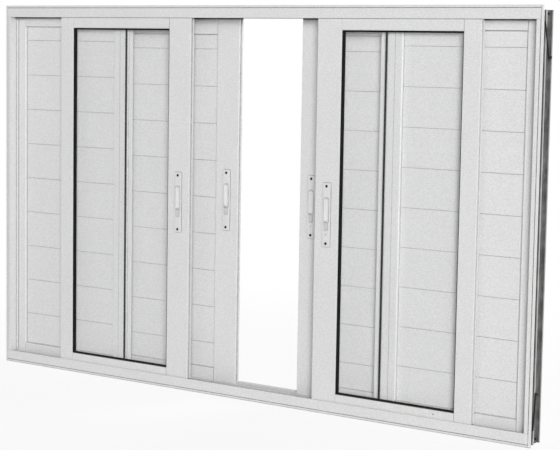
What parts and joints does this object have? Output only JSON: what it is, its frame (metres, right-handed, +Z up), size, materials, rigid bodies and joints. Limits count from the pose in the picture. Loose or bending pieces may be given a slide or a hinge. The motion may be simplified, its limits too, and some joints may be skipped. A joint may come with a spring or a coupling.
{
  "type": "sliding shutter window",
  "caption": "White aluminium louvred window, seen from the room side: sliding glass leaves, sliding shutter leaves and fixed slatted shutters in one tracked frame, standing part open.",
  "frame": {"origin": "middle of the sill's underside, halfway along the width and the depth", "axes": "+X along the window to the right as seen from the room, +Y away from the room towards the outside, +Z up"},
  "size_m": [2, 0.08, 1.2],
  "materials": {
    "white_powder_coat": "satin white powder coat on extruded aluminium",
    "white_slats": "satin white powder coat on extruded aluminium slats",
    "clear_glass": "clear float glass, 4 mm",
    "black_rubber": "black glazing rubber",
    "black_pile": "black brush pile",
    "white_plastic": "white moulded plastic",
    "grey_plastic": "grey moulded plastic",
    "nylon": "natural nylon",
    "dark_screws": "blackened steel",
    "anchor_steel": "black painted steel strap"
  },
  "bodies": {
    "root": {"head": "white_powder_coat", "sill": "white_powder_coat", "left_jamb": "white_powder_coat", "right_jamb": "white_powder_coat", "corner_screws": "dark_screws", "wall_anchors": "anchor_steel", "left_glass_handle_stile": "white_powder_coat", "left_shutter_handle_stile": "white_powder_coat", "left_glass_outer_stile": "white_powder_coat", "left_shutter_outer_stile": "white_powder_coat", "left_glass_top_rail": "white_powder_coat", "left_shutter_top_rail": "white_powder_coat", "left_glass_bottom_rail": "white_powder_coat", "left_shutter_bottom_rail": "white_powder_coat", "left_fixed_jamb_stile": "white_powder_coat", "left_fixed_inner_stile": "white_powder_coat", "left_fixed_top_rail": "white_powder_coat", "left_fixed_bottom_rail": "white_powder_coat", "left_pane": "clear_glass", "left_gasket": "black_rubber", "left_glass_pull_plate": "white_plastic", "left_shutter_pull_plate": "white_plastic", "left_shutter_slats": "white_slats", "left_fixed_slats": "white_slats", "right_glass_handle_stile": "white_powder_coat", "right_shutter_handle_stile": "white_powder_coat", "right_glass_outer_stile": "white_powder_coat", "right_shutter_outer_stile": "white_powder_coat", "right_glass_top_rail": "white_powder_coat", "right_shutter_top_rail": "white_powder_coat", "right_glass_bottom_rail": "white_powder_coat", "right_shutter_bottom_rail": "white_powder_coat", "right_fixed_jamb_stile": "white_powder_coat", "right_fixed_inner_stile": "white_powder_coat", "right_fixed_top_rail": "white_powder_coat", "right_fixed_bottom_rail": "white_powder_coat", "right_pane": "clear_glass", "right_gasket": "black_rubber", "right_glass_pull_plate": "white_plastic", "right_shutter_pull_plate": "white_plastic", "right_shutter_slats": "white_slats", "right_fixed_slats": "white_slats", "latch_sliders": "grey_plastic", "handle_screws": "dark_screws", "leaf_runners": "nylon", "brush_seals": "black_pile"}
  },
  "joints": []
}
